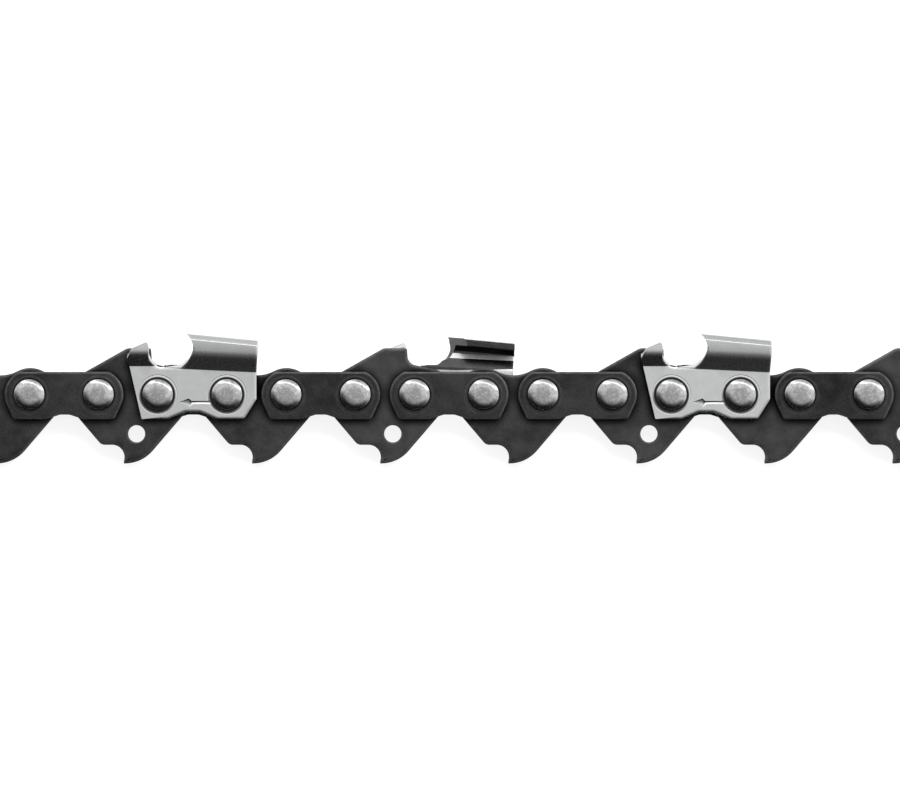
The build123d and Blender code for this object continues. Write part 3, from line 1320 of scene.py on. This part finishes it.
@dataclass
class Chain:
    """The stretch of chain, link by link and pair by pair."""

    pitch: float = 9.32
    spacing: float = 8.59
    links: int = 8
    plate_seed: int = 20
    rivet_seed: int = 50
    near_cutter: Cutter = field(default_factory=Cutter)
    far_cutter: Cutter = field(default_factory=lambda: Cutter(tooth_front=4.3, upright=1.75))

    @staticmethod
    def place(piece: DriveLink | TieStrap | Cutter | Rivet, spot: Spot, body: str, slot: Slot) -> None:
        """Builds a piece and sets it on its body, in place of its node.

        Args:
            piece: the piece.
            spot: where it belongs.
            body: the body that carries it.
            slot: its material slot, which is not used.
        """
        made = piece.build(spot)
        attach(made, body)
        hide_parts(spot.node)
        log.info("%s rides on %s with %d faces", made.name, body, len(made.data.polygons))

    def build(self) -> None:
        """Builds every piece of the chain."""
        link_steel = BluedSteel("blued link steel").material()
        strap_steel = BluedSteel("blued strap steel", 0.007, 0.036, roughness=0.3, specular=0.24).material()
        chrome = SatinChrome().material()
        filed = FiledSteel().material()
        # painted shade: a darker copy of the filed steel for the filed faces of the far cutters, which lie in shade
        shaded = FiledSteel("dull filed steel", level=0.12, roughness=0.4).material()
        # painted glint: a bright chrome for a band along the tooth's inner bend
        glinting = SatinChrome("polished bend", dark=0.85, light=0.92, roughness=0.5).material()
        # painted shade: a dark chrome for the tooth's inner side and free edge
        shadowed = SatinChrome("filmed chrome", dark=0.035, light=0.075).material()
        spun = SpunSteel().material()
        for number in range(1, self.links + 1):
            kind = LinkKind.GUARD if number % 2 == 0 else LinkKind.PLAIN
            middle = 2 * self.pitch * (number - 1) + self.spacing / 2
            spot = Spot(f"{kind.value}_drive_link_{number}", middle, number, [link_steel])
            self.place(DriveLink(kind), spot, f"link_{number}", Slot.LINK)
        sides = (
            (Layer.NEAR, 2, "left", "upper", self.near_cutter, filed),
            (Layer.FAR, 0, "right", "lower", self.far_cutter, shaded),
        )
        for number in range(1, self.links):
            start = 2 * self.pitch * (number - 1) + self.spacing
            body = f"pair_{number}"
            for layer, turn, cutter_side, strap_side, cutter, bare in sides:
                seed = self.plate_seed + 2 * number + layer.value
                if number % 4 == turn:
                    finishes = [chrome, bare, shadowed, glinting]
                    spot = Spot(f"{cutter_side}_cutter_{number}", start, seed, finishes, layer)
                    self.place(cutter, spot, body, Slot.CUTTER)
                else:
                    spot = Spot(f"{strap_side}_tie_strap_{number}", start, seed, [strap_steel], layer)
                    self.place(TieStrap(), spot, body, Slot.STRAP)
            for name, x in (("front", start), ("rear", 2 * self.pitch * number)):
                seed = self.rivet_seed + 2 * number + (name == "rear")
                spot = Spot(f"{name}_rivet_{number}", x, seed, [spun])
                self.place(Rivet(), spot, body, Slot.RIVET)


@dataclass
class Studio:
    """The floor, the light and the camera."""

    floor_z: float = -2.82
    floor_size: float = 12000.0
    floor_grey: float = 0.3
    floor_glow: float = 0.86
    floor_mirrored: float = 0.8
    camera: tuple[float, float, float] = (69.66, -0.8, 700.0)
    lens: float = 192.4
    sensor: float = 36.0
    clip: tuple[float, float] = (0.01, 50.0)
    light_from: tuple[float, float, float] = (0.3, 0.95, 0.0)
    shades: Pairs = (
        (0.0, 0.012), (0.2, 0.015), (0.34, 0.11), (0.42, 0.3), (0.47, 0.62), (0.51, 0.86),
        (0.62, 0.95), (0.75, 1.0), (0.82, 3.0), (0.87, 1.7), (0.93, 0.8), (1.0, 0.5),
    )
    lamp_place: tuple[float, float, float] = (200.0, 400.0, 560.0)
    lamp_aim: tuple[float, float, float] = (69.66, 0.0, 0.0)
    lamp_size: tuple[float, float] = (700.0, 200.0)
    lamp_power: float = 5.0

    def build(self) -> None:
        """Builds the studio."""
        self.build_floor()
        self.build_world()
        self.build_lamps()
        self.build_camera()

    def build_floor(self) -> None:
        """The pale floor on which the chain lies."""
        mesh = bmesh.new()
        bmesh.ops.create_grid(mesh, x_segments=1, y_segments=1, size=self.floor_size / 2 * MM)
        shift(mesh, mesh.verts[:], 0, 0, self.floor_z * MM)
        floor = mesh_object("floor", mesh)
        graph = Graph("pale floor")
        paint = graph.add("ShaderNodeBsdfDiffuse", Color=grey(self.floor_grey))
        path = graph.add("ShaderNodeLightPath")
        mirrored = graph.sum(path.outputs["Is Glossy Ray"], self.floor_mirrored, "MULTIPLY")
        seen = graph.sum(path.outputs["Is Camera Ray"], mirrored, "MAXIMUM")
        seen = graph.sum(seen, path.outputs["Is Transmission Ray"], "MAXIMUM")
        glow = graph.add("ShaderNodeEmission", Strength=graph.sum(seen, self.floor_glow, "MULTIPLY"))
        both = graph.add("ShaderNodeAddShader", None, paint.outputs[0], glow.outputs[0])
        graph.feed(graph.output.inputs["Surface"], both.outputs[0])
        floor.data.materials.append(graph.material)

    def build_world(self) -> None:
        """A soft surrounding that is bright above and beyond the chain, and dim on its near side."""
        world = bpy.data.worlds.new("studio")
        bpy.context.scene.world = world
        world.use_nodes = True
        nodes, links = world.node_tree.nodes, world.node_tree.links
        nodes.clear()
        output = nodes.new("ShaderNodeOutputWorld")
        background = nodes.new("ShaderNodeBackground")
        place = nodes.new("ShaderNodeTexCoord")
        lean = nodes.new("ShaderNodeVectorMath")
        lean.operation = "DOT_PRODUCT"
        lean.inputs[1].default_value = self.light_from
        links.new(place.outputs["Generated"], lean.inputs[0])
        ramp = nodes.new("ShaderNodeValToRGB")
        ramp.color_ramp.interpolation = "EASE"
        stops = ramp.color_ramp.elements
        while len(stops) < len(self.shades):
            stops.new(0.5)
        for stop, (position, level) in zip(stops, self.shades):
            stop.position = position
            stop.color = (level, level, level, 1)
        spread = nodes.new("ShaderNodeMapRange")
        spread.inputs["From Min"].default_value = -1
        links.new(lean.outputs["Value"], spread.inputs["Value"])
        links.new(spread.outputs["Result"], ramp.inputs["Fac"])
        links.new(ramp.outputs["Color"], background.inputs["Color"])
        links.new(background.outputs["Background"], output.inputs["Surface"])

    def build_lamps(self) -> None:
        """One broad lamp above and beyond the chain."""
        data = bpy.data.lights.new("softbox", "AREA")
        data.shape = "RECTANGLE"
        data.size, data.size_y = (size * MM for size in self.lamp_size)
        data.energy = self.lamp_power
        lamp = scene_object("softbox", data)
        lamp.location = Vector(self.lamp_place) * MM
        aim = Vector(self.lamp_aim) * MM - lamp.location
        lamp.rotation_euler = aim.to_track_quat("-Z", "Y").to_euler()
        lamp.visible_camera = False
        lamp.visible_glossy = False

    def build_camera(self) -> None:
        """The camera straight above the chain's middle."""
        data = bpy.data.cameras.new("camera")
        data.lens = self.lens
        data.sensor_width = self.sensor
        data.clip_start, data.clip_end = self.clip
        camera = scene_object("camera", data)
        camera.location = Vector(self.camera) * MM
        bpy.context.scene.camera = camera


def main() -> None:
    """Builds the chain and its studio."""
    logging.basicConfig(level=logging.INFO, format="%(message)s")
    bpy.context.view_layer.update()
    bpy.context.scene.view_settings.view_transform = "Standard"
    Chain().build()
    Studio().build()


if __name__ == "__main__":
    main()
